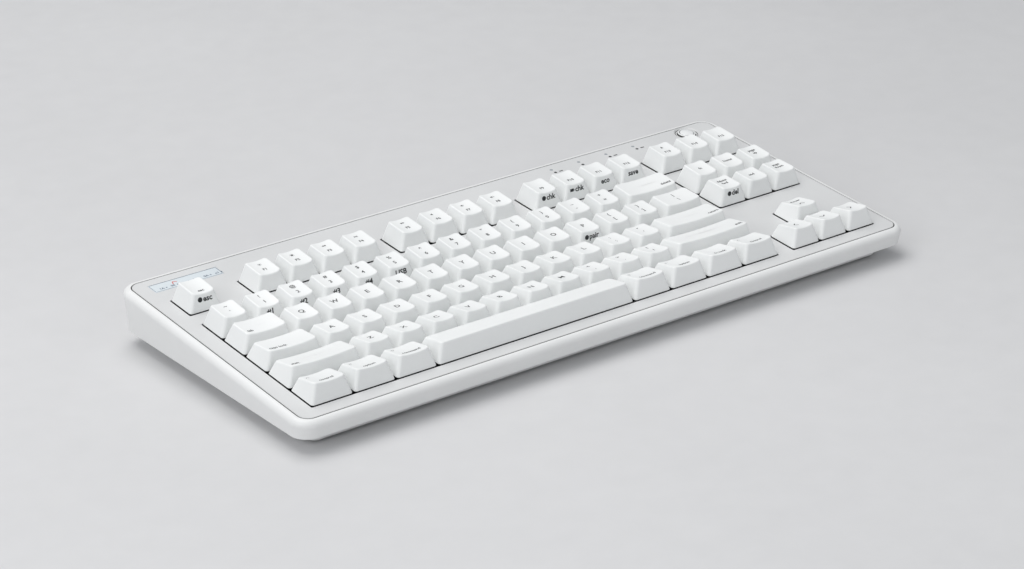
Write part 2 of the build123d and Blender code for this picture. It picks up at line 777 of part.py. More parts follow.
def screw_passage(x, y):
    foot = screw_head_foot(y)
    passage = post(x, y, SCREW_RADIUS + SCREW_PLAY, foot, screw_meeting(y))
    passage += post(x, y, SCREW_HEAD_RADIUS + SCREW_HEAD_PLAY, foot - FLOOR_THICK, foot + SCREW_HEAD)
    return place_on_deck(passage)


def lower_case():
    """The outer shell: rim, drafted walls, ledge, plinth and floor in one moulding."""
    below_wall = block(-CASE_WIDTH, CASE_WIDTH, -CASE_DEPTH, CASE_DEPTH, -FAR, WALL_FOOT)
    below_ledge = block(-CASE_WIDTH, CASE_WIDTH, -CASE_DEPTH, CASE_DEPTH, -FAR, LEDGE_TOP)
    shell = drafted(CASE_WIDTH, CASE_DEPTH, CASE_CORNER)
    shell = fillet(shell.edges().group_by(Axis.Z)[-1], RIM_ROUND)
    shell = place_on_deck(shell) - below_wall
    middle = Pos(0, (PLINTH_FRONT + PLINTH_REAR) / 2)
    depth = PLINTH_REAR - PLINTH_FRONT
    shell += slab(middle * RectangleRounded(PLINTH_WIDTH, depth, PLINTH_CORNER), PLINTH_FOOT, LEDGE_TOP)
    rim = 2 * RIM_WIDTH
    room = drafted(CASE_WIDTH - rim, CASE_DEPTH - rim, CASE_CORNER - RIM_WIDTH)
    shell -= place_on_deck(room) - below_ledge
    wall = 2 * FLOOR_THICK
    inner = middle * RectangleRounded(PLINTH_WIDTH - wall, depth - wall, PLINTH_CORNER - FLOOR_THICK)
    shell -= slab(inner, FLOOR_TOP, LEDGE_TOP + 1)
    for peg in board_posts():
        shell += peg
    for side in (-1, 1):
        shell += foot_pocket(side, True)
        shell -= foot_pocket(side, False)
        seat = foot_pin_half() + FOOT_PLAY / 2
        hole = FOOT_PIN_RADIUS + FOOT_PIN_PLAY
        shell -= rod_along_x(FOOT_PIN_Y, FOOT_PIN_Z, hole, side * FOOT_X - seat, side * FOOT_X + seat)
    shell += battery_bay_walls()
    door_room = DOOR_HALF + DOOR_PLAY
    behind = PLINTH_REAR + 1
    shell -= block(-door_room, door_room, DOOR_FRONT - DOOR_PLAY, behind, PLINTH_FOOT, FLOOR_TOP)
    lip_top = DOOR_LIP + DOOR_LIP_PLAY
    shell -= block(-door_room, door_room, PLINTH_REAR - FLOOR_THICK, behind, PLINTH_FOOT, lip_top)
    shell += plug_recess(TUNNEL_WALL, USB_REAR - TUNNEL_BACK, TUNNEL_REAR)
    shell -= plug_recess(0, USB_REAR, FAR * 2)
    half = USB_WIDTH / 2 + USB_PLAY
    high = USB_HEIGHT / 2 + USB_PLAY
    inside = USB_REAR - 2 * TUNNEL_BACK
    shell -= block(USB_X - half, USB_X + half, inside, USB_REAR, usb_middle() - high, usb_middle() + high)
    for x, y in SCREWS:
        shell += case_boss(x, y)
    for x, y in SCREWS:
        shell -= screw_passage(x, y)
    return shell


def case_screws():
    """Pan-head screws from below, along the normal of the panel."""
    solids = []
    for x, y in SCREWS:
        foot = screw_head_foot(y)
        neck = foot + SCREW_HEAD
        screw = post(x, y, SCREW_HEAD_RADIUS, foot, neck)
        screw += post(x, y, SCREW_RADIUS - SCREW_THREAD_PLAY, neck, neck + SCREW_BITE)
        middle = Pos(x, y, foot + SCREW_CROSS_DEPTH / 2)
        screw -= middle * Box(SCREW_CROSS_SPAN, SCREW_CROSS_WIDTH, SCREW_CROSS_DEPTH)
        screw -= middle * Box(SCREW_CROSS_WIDTH, SCREW_CROSS_SPAN, SCREW_CROSS_DEPTH)
        solids.append(screw)
    return solids


def rubber_pads():
    pads = []
    for (middle, width), y in ((FRONT_PAD, PLINTH_FRONT + PAD_INSET), (REAR_PAD, PLINTH_REAR - PAD_INSET)):
        for side in (-1, 1):
            pads.append(Pos(side * middle, y) * RectangleRounded(width, PAD_DEPTH, PAD_CORNER))
    return [slab(pad, 0, PLINTH_FOOT) for pad in pads]


# ---------------------------------------------------------------- rear band, feet and power


def badge_window():
    width, depth = BADGE_SIZE
    outline = RectangleRounded(width - BADGE_PLAY, depth - BADGE_PLAY, BADGE_CORNER)
    return slab(Pos(*BADGE) * outline, -BADGE_THICK, 0)


def indicator_lights():
    """Light guides: a pin through the panel with a collar under it."""
    solids = []
    radius, height = LIGHT_COLLAR
    for x in LIGHTS_X:
        guide = post(x, LIGHTS_Y, LIGHT_RADIUS, -PANEL_THICK, 0)
        solids.append(guide + post(x, LIGHTS_Y, radius, -PANEL_THICK - height, -PANEL_THICK))
    return solids


def power_button():
    """A domed button with two ears that keep it under the panel and a plunger on its axis."""
    x, y = BUTTON
    top = -PANEL_THICK - BUTTON_PLAY
    foot = top - BUTTON_FLANGE_THICK
    sphere = (BUTTON_RADIUS**2 + BUTTON_CROWN**2) / (2 * BUTTON_CROWN)
    button = post(x, y, BUTTON_RADIUS, -1, BUTTON_CROWN)
    button &= Pos(x, y, BUTTON_CROWN - sphere) * Sphere(sphere)
    button += post(x, y, BUTTON_RADIUS, foot, -1)
    half = BUTTON_FLANGE_DEPTH / 2
    button += block(x - BUTTON_FLANGE, x + BUTTON_FLANGE, y - half, y + half, foot, top)
    return button + post(x, y, PLUNGER_RADIUS, foot - PLUNGER_LENGTH, foot)


def power_switch():
    """A tactile switch on a small board that hangs from two posts of the cover."""
    x, y = BUTTON
    here = Pos(x, y, SWITCH_BOARD_TOP)
    width, depth, thick = SWITCH_BOARD
    board = here * Pos(0, 0, -thick / 2) * Box(width, depth, thick)
    body = here * Pos(0, 0, SWITCH_BODY_HEIGHT / 2) * Box(SWITCH_BODY, SWITCH_BODY, SWITCH_BODY_HEIGHT)
    body_top = SWITCH_BOARD_TOP + SWITCH_BODY_HEIGHT
    return board + body + post(x, y, SWITCH_KNOB_RADIUS, body_top, body_top + SWITCH_KNOB_HEIGHT)


def tilt_foot(side):
    """A flip-out foot with a rounded hinge end, folded flat in its pocket."""
    middle = side * FOOT_X
    half = FOOT_WIDTH / 2
    low = FOOT_PIN_Z - FOOT_THICK / 2
    high = FOOT_PIN_Z + FOOT_THICK / 2
    foot = block(middle - half, middle + half, FOOT_PIN_Y, FOOT_PIN_Y + FOOT_REACH, low, high)
    foot += rod_along_x(FOOT_PIN_Y, FOOT_PIN_Z, FOOT_THICK / 2, middle - half, middle + half)
    hole = FOOT_PIN_RADIUS + FOOT_PIN_PLAY
    return foot - rod_along_x(FOOT_PIN_Y, FOOT_PIN_Z, hole, middle - half, middle + half)


def tilt_foot_pins():
    half = foot_pin_half()
    middles = (-FOOT_X, FOOT_X)
    return [rod_along_x(FOOT_PIN_Y, FOOT_PIN_Z, FOOT_PIN_RADIUS, x - half, x + half) for x in middles]


def battery_door():
    """The sliding door: a floor plate, the piece of the plinth's rear wall, and two ears over the floor."""
    low = PLINTH_FOOT + DOOR_SINK
    door = block(-DOOR_HALF, DOOR_HALF, DOOR_FRONT, PLINTH_REAR, low, FLOOR_TOP)
    door += block(-DOOR_HALF, DOOR_HALF, PLINTH_REAR - FLOOR_THICK, PLINTH_REAR, low, DOOR_LIP)
    reach, depth, height = DOOR_EAR
    front = DOOR_FRONT + DOOR_EAR_SET_BACK
    foot = FLOOR_TOP + DOOR_EAR_PLAY
    for side in (-1, 1):
        root = sorted((side * (DOOR_HALF - DOOR_EAR_ROOT), side * DOOR_HALF))
        door += block(*root, front, front + depth, FLOOR_TOP, foot + height)
        ear = sorted((side * DOOR_HALF, side * (DOOR_HALF + reach)))
        door += block(*ear, front, front + depth, foot, foot + height)
    return door


def battery_cells():
    """Two AA cells end to end, both with the nub to the right."""
    solids = []
    length = CELL_LENGTH + CELL_NUB
    for start in (-length, 0):
        cell = rod_along_x(CELL_Y, CELL_Z, CELL_RADIUS, start, start + CELL_LENGTH)
        cell += rod_along_x(CELL_Y, CELL_Z, CELL_NUB_RADIUS, start + CELL_LENGTH, start + length)
        solids.append(cell)
    return solids


def battery_contacts():
    """A spring contact on the left of the bay and a stamped dome on the right."""
    face = BAY_END - CONTACT_THICK
    cell_end = CELL_LENGTH + CELL_NUB
    plate = Box(CONTACT_THICK, CONTACT_SIZE, CONTACT_SIZE)
    middle = face + CONTACT_THICK / 2
    spring = Pos(-middle, CELL_Y, CELL_Z) * plate
    step = (face - cell_end) / CONTACT_TURNS
    for turn in range(CONTACT_TURNS):
        radius = CONTACT_RADIUS - CONTACT_TAPER * turn
        start = turn * step - face
        ring = rod_along_x(CELL_Y, CELL_Z, radius, start, start + step)
        spring += ring - rod_along_x(CELL_Y, CELL_Z, radius - CONTACT_COIL, start, start + step)
    dome = Pos(middle, CELL_Y, CELL_Z) * plate
    dome += rod_along_x(CELL_Y, CELL_Z, CONTACT_DOME_RADIUS, cell_end, face)
    return [spring, dome]


# ---------------------------------------------------------------- export


def save(node, shapes):
    solids = [solid for shape in shapes for solid in shape.solids()]
    export_step(Compound(children=solids), f"parts/{node}.step")


def main():
    os.makedirs("parts", exist_ok=True)
    on_deck = key_nodes()
    for node, x, y, spread in stabiliser_places():
        name = node.replace("_key", "").replace("_bar", "")
        on_deck[f"{name}_stabiliser_wire"] = [Pos(x, y, 0) * stabiliser_wire(spread)]
    on_deck["switch_bases"] = at_each_key(switch_base())
    on_deck["switch_tops"] = at_each_key(switch_top())
    on_deck["switch_springs"] = at_each_key(switch_spring())
    on_deck["switch_contacts"] = at_each_key(*[pin(x, y, 0) for x, y in PIN_PLACES])
    on_deck["stabiliser_housings"] = stabiliser_housings()
    on_deck["mounting_plate"] = [mounting_plate()]
    on_deck["circuit_board"] = [circuit_board()]
    on_deck["top_cover"] = [top_cover()]
    on_deck["case_screws"] = case_screws()
    on_deck["badge_window"] = [badge_window()]
    on_deck["indicator_lights"] = indicator_lights()
    on_deck["power_button"] = [power_button()]
    on_deck["power_switch"] = [power_switch()]
    for node, solids in on_deck.items():
        save(node, [place_on_deck(solid) for solid in solids])
    level = {
        "lower_case": [lower_case()],
        "controller_board": [controller_board()],
        "usb_socket": [usb_socket()],
        "rubber_pads": rubber_pads(),
        "tilt_foot_left": [tilt_foot(-1)],
        "tilt_foot_right": [tilt_foot(1)],
        "tilt_foot_pins": tilt_foot_pins(),
        "battery_door": [battery_door()],
        "battery_cells": battery_cells(),
        "battery_contacts": battery_contacts(),
    }
    for node, solids in level.items():
        save(node, solids)


main()
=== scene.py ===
import math
from collections import namedtuple

import bmesh
import bpy
from mathutils import Matrix, Quaternion, Vector


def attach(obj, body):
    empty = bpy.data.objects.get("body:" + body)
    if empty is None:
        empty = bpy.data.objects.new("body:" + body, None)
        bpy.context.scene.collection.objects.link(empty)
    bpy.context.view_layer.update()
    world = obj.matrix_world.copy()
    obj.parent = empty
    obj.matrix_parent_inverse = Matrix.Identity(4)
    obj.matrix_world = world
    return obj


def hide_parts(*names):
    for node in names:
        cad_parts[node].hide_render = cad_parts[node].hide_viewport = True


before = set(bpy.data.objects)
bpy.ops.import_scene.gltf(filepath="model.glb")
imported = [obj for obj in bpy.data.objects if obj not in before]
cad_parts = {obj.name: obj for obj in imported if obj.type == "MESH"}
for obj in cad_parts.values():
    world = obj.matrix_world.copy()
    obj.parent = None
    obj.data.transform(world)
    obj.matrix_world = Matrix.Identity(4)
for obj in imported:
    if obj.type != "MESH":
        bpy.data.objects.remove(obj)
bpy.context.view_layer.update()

# A tenkeyless mechanical keyboard. Lengths are millimetres in the deck frame (X right, Y up the slope,
# Z normal to the panel, panel top at 0) until the matrix DECK carries them into the frame's metres.
MM = 0.001
PITCH = 19.05
SLOPE = 5.0
DECK_HEIGHT = 24.0
DECK_SHIFT = -0.28
DECK = (
    Matrix.Scale(MM, 4)
    @ Matrix.Translation((0, DECK_SHIFT, DECK_HEIGHT))
    @ Matrix.Rotation(math.radians(SLOPE), 4, "X")
)

GRID_LEFT = -18.5 * PITCH / 2
GRID_REAR = 53.85
CAP_GAP = 0.95
CAP_BASE = 0.3
CAP_SIDE_INSET = 3.4
CAP_WALL = 1.3
CAP_SKIN = 1.5
CAP_BASE_CORNER = 1.5
CAP_TOP_CORNER = 2.0
CAP_EDGE = 0.75
DISH_DEPTH = 0.9
BOSS_RADIUS = 2.8
BOSS_FOOT = 0.2
SLIDER_HALF = (3.5, 2.7)
SLIDER_FOOT = -6.4
SLIDER_ROOF = -1.6
SPRING_BORE = 2.4
STAB_HALF = (2.0, 2.5)
STAB_SLOT_HALF = 1.1
STAB_SLOT_FRONT = 0.2
STAB_SLOT_LEVELS = (-5.0, -2.2)
LIFT = 0.03

Profile = namedtuple("Profile", "front_height rear_height front_inset rear_inset")
Key = namedtuple("Key", "node row start width top front")

ROW_START = {"function": 0.0, "number": 1.5, "upper": 2.5, "home": 3.5, "lower": 4.5, "bottom": 5.5}
PROFILES = {
    "function": Profile(9.7, 10.2, 2.8, 1.9),
    "number": Profile(10.2, 10.9, 2.6, 2.7),
    "upper": Profile(10.1, 10.0, 2.1, 3.3),
    "home": Profile(9.8, 7.9, 2.3, 2.6),
    "lower": Profile(10.4, 7.0, 2.8, 2.1),
    "bottom": Profile(10.4, 7.1, 3.3, 2.1),
}
# half the distance between the two stabiliser stems of a wide key
STABILISED = {
    "delete_key": 11.94,
    "return_key": 11.94,
    "left_shift_key": 11.94,
    "right_shift_key": 11.94,
    "space_bar": 50.0,
}


# ---------------------------------------------------------------- the keys and what is printed on them


def row_of(node, row, start, prints, fronts=None):
    """Keys one pitch wide that share one body, with what is printed on their tops and fronts."""
    fronts = fronts or {}
    return [Key(node, row, start + step, 1.0, text, fronts.get(text)) for step, text in enumerate(prints)]


def over(rear, front):
    """A print in two lines, the first one behind the second."""
    return [f"{a}\n{b}" for a, b in zip(rear, front)]


def all_keys():
    keys = [Key("esc_key", "function", 0.0, 1.0, "esc", "*esc")]
    names = [f"F{number}" for number in range(1, 16)]
    fronts = {"F9": "*chk", "F10": "=chk", "F11": "eco", "F12": "save"}
    for start, first in ((2.0, 0), (6.5, 4), (11.0, 8)):
        keys += row_of("function_keys", "function", start, names[first:first + 4], fronts)
    keys += row_of("f13_to_f15_keys", "function", 15.5, names[12:])
    digits = over("~!@#$%^&*()_+", "`1234567890-=")
    marks = {digits[place]: f"#{place}" for place in range(1, 5)}
    marks[digits[5]] = "USB"
    keys += row_of("number_row_keys", "number", 0.0, digits, marks)
    keys.append(Key("delete_key", "number", 13.0, 2.0, ">delete", None))
    keys.append(Key("tab_key", "upper", 0.0, 1.5, "<tab", None))
    keys += row_of("upper_letter_keys", "upper", 1.5, list("QWERTYUIOP") + over("{}", "[]"), {"P": "*pair"})
    keys.append(Key("backslash_key", "upper", 13.5, 1.5, "|\n\\", None))
    keys.append(Key("caps_lock_key", "home", 0.0, 1.75, "<caps lock", None))
    keys += row_of("home_letter_keys", "home", 1.75, list("ASDFGHJKL") + over(":\"", ";'"))
    keys.append(Key("return_key", "home", 12.75, 2.25, ">return", None))
    keys.append(Key("left_shift_key", "lower", 0.0, 2.25, "<shift", None))
    keys += row_of("lower_letter_keys", "lower", 2.25, list("ZXCVBNM") + over("<>?", ",./"))
    keys.append(Key("right_shift_key", "lower", 12.25, 2.75, ">shift", None))
    left = (("left_control_key", "control"), ("left_option_key", "option"), ("left_command_key", "command"))
    for place, (node, word) in enumerate(left):
        keys.append(Key(node, "bottom", 1.25 * place, 1.25, word, None))
    keys.append(Key("space_bar", "bottom", 3.75, 6.25, "", None))
    right = (
        ("right_command_key", "command"),
        ("right_option_key", "option"),
        ("function_shift_key", "fn lock"),
        ("right_control_key", "control"),
    )
    for place, (node, word) in enumerate(right):
        keys.append(Key(node, "bottom", 10.0 + 1.25 * place, 1.25, word, None))
    above = (("help_key", "fn"), ("home_key", "home"), ("page_up_key", "page\nup"))
    for place, (node, word) in enumerate(above):
        keys.append(Key(node, "number", 15.5 + place, 1.0, word, None))
    keys.append(Key("forward_delete_key", "upper", 15.5, 1.0, "delete\nfwd", "*del"))
    keys.append(Key("end_key", "upper", 16.5, 1.0, "end", None))
    keys.append(Key("page_down_key", "upper", 17.5, 1.0, "page\ndown", None))
    keys.append(Key("up_arrow_key", "lower", 16.5, 1.0, "up", None))
    for place, (node, word) in enumerate((("left_arrow_key", "left"), ("down_arrow_key", "down"))):
        keys.append(Key(node, "bottom", 15.5 + place, 1.0, word, None))
    keys.append(Key("right_arrow_key", "bottom", 17.5, 1.0, "right", None))
    return keys


def key_centre(key):
    x = GRID_LEFT + (key.start + key.width / 2) * PITCH
    return x, GRID_REAR - (ROW_START[key.row] + 0.5) * PITCH


# ---------------------------------------------------------------- materials


def node_material(name):
    material = bpy.data.materials.new(name)
    material.use_nodes = True
    tree = material.node_tree
    return material, tree, tree.nodes["Principled BSDF"]


def add_node(tree, kind, **settings):
    node = tree.nodes.new(kind)
    for key, value in settings.items():
        if key in node.inputs:
            node.inputs[key].default_value = value
        else:
            setattr(node, key, value)
    return node


# how the fine grain adds to the broad patches, where the two shades lie, and what the grain does to the gloss
GRAIN_SHARE = 0.35
SHADE_ENDS = (0.45, 0.9)
NOISE_ENDS = (0.3, 0.7)
ROUGH_SPREAD = (-0.06, 0.07)
BROAD_NOISE = (3.0, 0.6)
FINE_NOISE = (4.0, 0.62)
BUMP_STRENGTH = 0.35


def noise(tree, scale, settings):
    detail, roughness = settings
    return add_node(tree, "ShaderNodeTexNoise", Scale=scale, Detail=detail, Roughness=roughness)


def grained(name, dark, light, rough, grain, depth, metal=0.0, coat=0.0, streak=1.0, patch=18.0):
    """A moulded or milled surface: broad colour patches, fine grain in the bump and in the roughness."""
    material, tree, shader = node_material(name)
    link = tree.links.new
    place = add_node(tree, "ShaderNodeTexCoord")
    stretch = add_node(tree, "ShaderNodeMapping", Scale=(1.0, streak, 1.0))
    link(place.outputs["Object"], stretch.inputs["Vector"])
    broad = noise(tree, patch, BROAD_NOISE)
    fine = noise(tree, grain, FINE_NOISE)
    link(stretch.outputs["Vector"], broad.inputs["Vector"])
    link(stretch.outputs["Vector"], fine.inputs["Vector"])
    blend = add_node(tree, "ShaderNodeMath", operation="MULTIPLY_ADD")
    blend.inputs[1].default_value = GRAIN_SHARE
    link(fine.outputs["Fac"], blend.inputs[0])
    link(broad.outputs["Fac"], blend.inputs[2])
    ramp = add_node(tree, "ShaderNodeValToRGB")
    for element, position, shade in zip(ramp.color_ramp.elements, SHADE_ENDS, (dark, light)):
        element.position = position
        element.color = (*shade, 1)
    link(blend.outputs["Value"], ramp.inputs["Fac"])
    link(ramp.outputs["Color"], shader.inputs["Base Color"])
    spread = add_node(tree, "ShaderNodeMapRange")
    for end, level, change in zip(("Min", "Max"), NOISE_ENDS, ROUGH_SPREAD):
        spread.inputs[f"From {end}"].default_value = level
        spread.inputs[f"To {end}"].default_value = rough + change
    link(fine.outputs["Fac"], spread.inputs["Value"])
    link(spread.outputs["Result"], shader.inputs["Roughness"])
    bump = add_node(tree, "ShaderNodeBump", Strength=BUMP_STRENGTH, Distance=depth * MM)
    link(fine.outputs["Fac"], bump.inputs["Height"])
    link(bump.outputs["Normal"], shader.inputs["Normal"])
    shader.inputs["Metallic"].default_value = metal
    shader.inputs["Coat Weight"].default_value = coat
    return material


# the dark and the light shade of each surface
SHADES = {
    "keycap": ((0.81, 0.825, 0.82), (0.87, 0.88, 0.875)),
    "ink": ((0.008, 0.010, 0.011), (0.022, 0.025, 0.027)),
    "grey_ink": ((0.014, 0.016, 0.017), (0.028, 0.030, 0.031)),
    "red_ink": ((0.55, 0.08, 0.06), (0.66, 0.12, 0.09)),
    "blue_ink": ((0.10, 0.14, 0.19), (0.16, 0.20, 0.26)),
    "shell": ((0.76, 0.765, 0.76), (0.81, 0.815, 0.81)),
    "panel": ((0.63, 0.635, 0.635), (0.68, 0.685, 0.685)),
    # painted shade: near-black for the strip laid in the grooves round the panel and the button, and for the
    # button's groove floor
    "groove_shade": ((0.05, 0.05, 0.048), (0.09, 0.09, 0.086)),
    "plate": ((0.045, 0.046, 0.048), (0.075, 0.077, 0.08)),
    "steel": ((0.42, 0.43, 0.45), (0.58, 0.59, 0.60)),
    "wire": ((0.50, 0.50, 0.51), (0.66, 0.66, 0.67)),
    "board": ((0.012, 0.075, 0.040), (0.02, 0.12, 0.065)),
    "housing": ((0.012, 0.012, 0.013), (0.03, 0.03, 0.032)),
    "brass": ((0.55, 0.38, 0.15), (0.70, 0.52, 0.24)),
    "rubber": ((0.018, 0.018, 0.019), (0.045, 0.045, 0.047)),
    "sleeve": ((0.025, 0.035, 0.06), (0.05, 0.06, 0.10)),
    "badge": ((0.66, 0.72, 0.76), (0.74, 0.80, 0.83)),
    "button": ((0.80, 0.81, 0.81), (0.87, 0.88, 0.88)),
    "guide": ((0.30, 0.33, 0.35), (0.40, 0.43, 0.45)),
    "floor": ((0.60, 0.60, 0.605), (0.66, 0.66, 0.665)),
}


def make_materials():
    """Every surface with its shades, its roughness, the scale of its grain and the grain's depth."""

    def made(name, label, *settings, **more):
        return grained(label, *SHADES[name], *settings, **more)

    return {
        "keycap": made("keycap", "keycap_plastic", 0.46, 2600.0, 0.05),
        "ink": made("ink", "legend_ink", 0.55, 4000.0, 0.02),
        "grey_ink": made("grey_ink", "top_legend_ink", 0.55, 4000.0, 0.02),
        "red_ink": made("red_ink", "red_mark_ink", 0.5, 4000.0, 0.02),
        "blue_ink": made("blue_ink", "icon_ink", 0.5, 4000.0, 0.02),
        "shell": made("shell", "shell_plastic", 0.40, 1900.0, 0.04),
        "panel": made("panel", "panel_paint", 0.38, 2400.0, 0.04),
        # painted shade for the grooves, as a rough near-black material
        "groove_shade": made("groove_shade", "painted_groove_shade", 0.8, 1300.0, 0.05),
        # the plate is near-black, which darkens the gaps between the keys
        "plate": made("plate", "dark_plate_steel", 0.5, 900.0, 0.02, metal=0.6, streak=6.0, patch=40.0),
        "steel": made("steel", "zinc_plate", 0.33, 900.0, 0.02, metal=1.0, streak=6.0, patch=40.0),
        "wire": made("wire", "drawn_steel", 0.24, 1500.0, 0.01, metal=1.0),
        "board": made("board", "solder_mask", 0.30, 700.0, 0.03, coat=0.4),
        "housing": made("housing", "black_nylon", 0.48, 2200.0, 0.05),
        "brass": made("brass", "stamped_brass", 0.30, 1200.0, 0.02, metal=1.0),
        "rubber": made("rubber", "pad_rubber", 0.78, 1300.0, 0.09),
        "sleeve": made("sleeve", "cell_sleeve", 0.28, 500.0, 0.02, coat=0.5),
        "badge": made("badge", "badge_glass", 0.18, 600.0, 0.01, coat=0.8),
        "button": made("button", "button_plastic", 0.30, 1500.0, 0.02, coat=0.4),
        "guide": made("guide", "light_guide", 0.22, 900.0, 0.02, coat=0.3),
        "floor": made("floor", "studio_floor", 0.75, 60.0, 0.2, patch=1.5),
    }


MATERIALS = make_materials()


# ---------------------------------------------------------------- mesh helpers


SHARP_ANGLE = 35.0
BRICK_CORNER = 0.01


def finish_mesh(builder, name, materials, matrix, body, sharp=SHARP_ANGLE):
    """Turns a bmesh into a piece that rides on a body, with smooth faces split at sharp edges."""
    mesh = bpy.data.meshes.new(name)
    builder.to_mesh(mesh)
    builder.free()
    mesh.transform(matrix)
    for material in materials:
        mesh.materials.append(MATERIALS[material])
    mesh.shade_smooth()
    mesh.set_sharp_from_angle(angle=math.radians(sharp))
    piece = bpy.data.objects.new(name, mesh)
    bpy.context.scene.collection.objects.link(piece)
    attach(piece, body)
    return piece


CORNER_STEPS = 6
LONG_SIDE = (0.02, 0.1, 0.2, 0.3, 0.4, 0.5, 0.6, 0.7, 0.8, 0.9, 0.98)
SHORT_SIDE = (0.03, 0.25, 0.5, 0.75, 0.97)


def outline(half_x, half_y, radius):
    """Points round a rounded rectangle, the same number for every size, from the front right corner on."""
    radius = min(radius, half_x, half_y)
    corners = []
    for side_x, side_y, start in ((1, -1, -90), (1, 1, 0), (-1, 1, 90), (-1, -1, 180)):
        centre = (side_x * (half_x - radius), side_y * (half_y - radius))
        arc = []
        for step in range(CORNER_STEPS + 1):
            angle = math.radians(start + 90 * step / CORNER_STEPS)
            arc.append((centre[0] + radius * math.cos(angle), centre[1] + radius * math.sin(angle)))
        corners.append(arc)
    points = []
    for place, arc in enumerate(corners):
        points += arc
        following = corners[(place + 1) % 4][0]
        shares = SHORT_SIDE if place % 2 == 0 else LONG_SIDE
        for share in shares:
            points.append(tuple(a + (b - a) * share for a, b in zip(arc[-1], following)))
    return points


def bridge(builder, lower, upper, material=0):
    """Quads between two rings of vertices with the same count, facing outwards when upper is above lower."""
    count = len(lower)
    for place in range(count):
        after = (place + 1) % count
        face = builder.faces.new((lower[place], lower[after], upper[after], upper[place]))
        face.material_index = material


def ring(builder, points):
    return [builder.verts.new(point) for point in points]


def stack(builder, levels, x=0.0, y=0.0, material=0):
    """A closed body from rounded rectangles (half x, half y, corner, height), lowest and outermost first."""
    made = []
    for half_x, half_y, corner, height in levels:
        flat = outline(half_x, half_y, corner)
        made.append(ring(builder, [(px + x, py + y, height) for px, py in flat]))
    for lower, upper in zip(made, made[1:]):
        bridge(builder, lower, upper, material)
    builder.faces.new(made[-1]).material_index = material
    builder.faces.new(list(reversed(made[0]))).material_index = material


def brick(builder, low, high):
    """A rectangular block between two corners."""
    half_x = (high[0] - low[0]) / 2
    half_y = (high[1] - low[1]) / 2
    levels = [(half_x, half_y, BRICK_CORNER, low[2]), (half_x, half_y, BRICK_CORNER, high[2])]
    stack(builder, levels, (low[0] + high[0]) / 2, (low[1] + high[1]) / 2)


# ---------------------------------------------------------------- keycaps


MOST_DISHED = 6
SPACE_CROWN = 0.25
LEAST_CORNER = 0.05
RIM = 0.18
TOP_SHARES = (0.17, 0.3, 0.45, 0.6, 0.75, 0.9, 0.985)
LIP_CORNER = 0.6
ROOF_CORNER = 1.0
SLIDER_CORNER = 0.3


class Cap:
    """The shape of one keycap: its base, the plane of its top edges and the dish in its top."""

    def __init__(self, row, width):
        profile = PROFILES[row]
        self.row = row
        self.base_x = (width * PITCH - CAP_GAP) / 2
        self.base_y = (PITCH - CAP_GAP) / 2
        self.top_x = width * PITCH / 2 - CAP_SIDE_INSET
        self.front = -PITCH / 2 + profile.front_inset
        self.rear = PITCH / 2 - profile.rear_inset
        self.front_height = profile.front_height
        self.slant = (profile.rear_height - profile.front_height) / (self.rear - self.front)
        self.dished = width < MOST_DISHED

    def plane(self, y):
        return self.front_height + self.slant * (y - self.front)

    def surface(self, x, y):
        """Height of the top: the plane of the edges less the dish, or a slight crown on the space bar."""
        if self.dished:
            return self.plane(y) - DISH_DEPTH * max(0.0, 1 - (x / self.top_x) ** 2)
        middle = (self.front + self.rear) / 2
        across = (y - middle) / (self.rear - middle)
        return self.plane(y) - SPACE_CROWN * across**2

    def top_ring(self, inset):
        half_y = (self.rear - self.front) / 2
        middle = (self.front + self.rear) / 2
        radius = max(CAP_TOP_CORNER - inset, LEAST_CORNER)
        flat = outline(self.top_x - inset, half_y - inset, radius)
        return [(x, y + middle) for x, y in flat]

    def edge_points(self):
        """Where each ruling of the walls meets the top surface, with the ruling's foot."""
        base = outline(self.base_x, self.base_y, CAP_BASE_CORNER)
        result = []
        for (bx, by), (tx, ty) in zip(base, self.top_ring(0)):
            tz = self.plane(ty)
            share = 1.0
            for _ in range(3):
                x = bx + share * (tx - bx)
                y = by + share * (ty - by)
                share = (self.surface(x, y) - CAP_BASE) / (tz - CAP_BASE)
            foot = Vector((bx, by, CAP_BASE))
            result.append((foot, foot.lerp(Vector((tx, ty, tz)), share)))
        return result


EDGE_STEPS = 5


def cap_mesh(builder, cap):
    """The outside of a keycap, rounded along its top edges, and the hollow inside it."""
    half_y = (cap.rear - cap.front) / 2
    pairs = cap.edge_points()
    formula = cap.top_ring(0)
    shifts = [(edge.x - x, edge.y - y) for (_, edge), (x, y) in zip(pairs, formula)]

    def top_points(inset):
        fade = 1 - inset / half_y
        moved = [
            (x + dx * fade, y + dy * fade) for (x, y), (dx, dy) in zip(cap.top_ring(inset), shifts)
        ]
        return [Vector((x, y, cap.surface(x, y))) for x, y in moved]

    inner_edge = top_points(CAP_EDGE)
    wall_top = [edge + (foot - edge).normalized() * CAP_EDGE for foot, edge in pairs]
    shrink = Matrix.Diagonal((1 - RIM / cap.base_x, 1 - RIM / cap.base_y, 1))
    rings = [
        [shrink @ foot for foot, _ in pairs],
        [foot + (edge - foot).normalized() * RIM for foot, edge in pairs],
        [foot + (edge - foot).normalized() * (2 * RIM) for foot, edge in pairs],
        [top + (foot - edge).normalized() * RIM for (foot, edge), top in zip(pairs, wall_top)],
    ]
    for step in range(EDGE_STEPS + 1):
        t = step / EDGE_STEPS
        weights = ((1 - t) ** 2, 2 * t * (1 - t), t**2)
        rings.append([
            low * weights[0] + edge * weights[1] + high * weights[2]
            for low, (_, edge), high in zip(wall_top, pairs, inner_edge)
        ])
    for share in TOP_SHARES:
        rings.append(top_points(max(CAP_EDGE + RIM, share * half_y)))
    made = [ring(builder, points) for points in rings]
    for lower, upper in zip(made, made[1:]):
        bridge(builder, lower, upper)
    builder.faces.new(made[-1])
    hollow(builder, cap, made[0])


